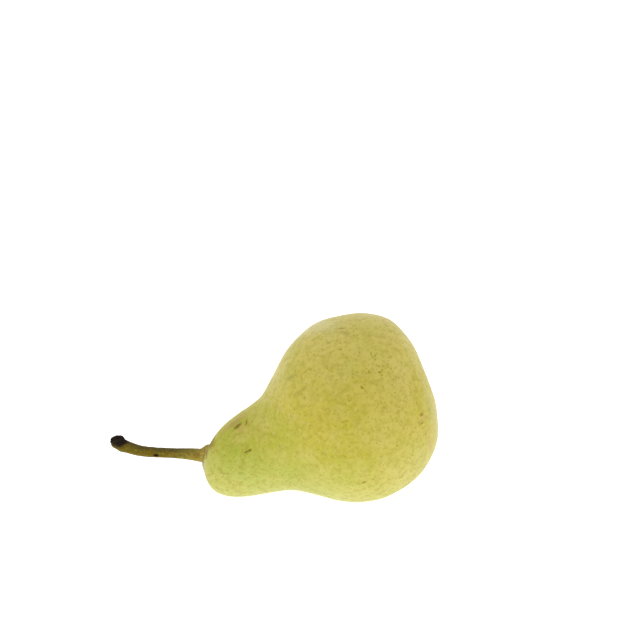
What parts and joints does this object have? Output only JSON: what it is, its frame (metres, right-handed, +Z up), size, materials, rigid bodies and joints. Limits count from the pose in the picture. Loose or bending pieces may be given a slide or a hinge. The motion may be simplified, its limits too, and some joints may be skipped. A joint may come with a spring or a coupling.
{
  "type": "pear",
  "caption": "Ripe yellow-green pear lying on its side, with a round belly, a short neck, a bent woody stalk and a dried calyx in the blossom end.",
  "frame": {"origin": "in the small flat spot under the belly, at the height of the surface that the pear lies on", "axes": "+X towards the blossom end, -X towards the stalk, +Y to the pear's back and +Z up"},
  "size_m": [0.1165, 0.0664, 0.0666],
  "materials": {
    "pear_skin": "waxy satin, fine lenticels",
    "stalk_wood": "matt, lightly ridged bark",
    "dried_calyx": "matt, dry and papery"
  },
  "bodies": {
    "root": {"fruit": "pear_skin", "stalk": "stalk_wood", "calyx": "dried_calyx"}
  },
  "joints": []
}
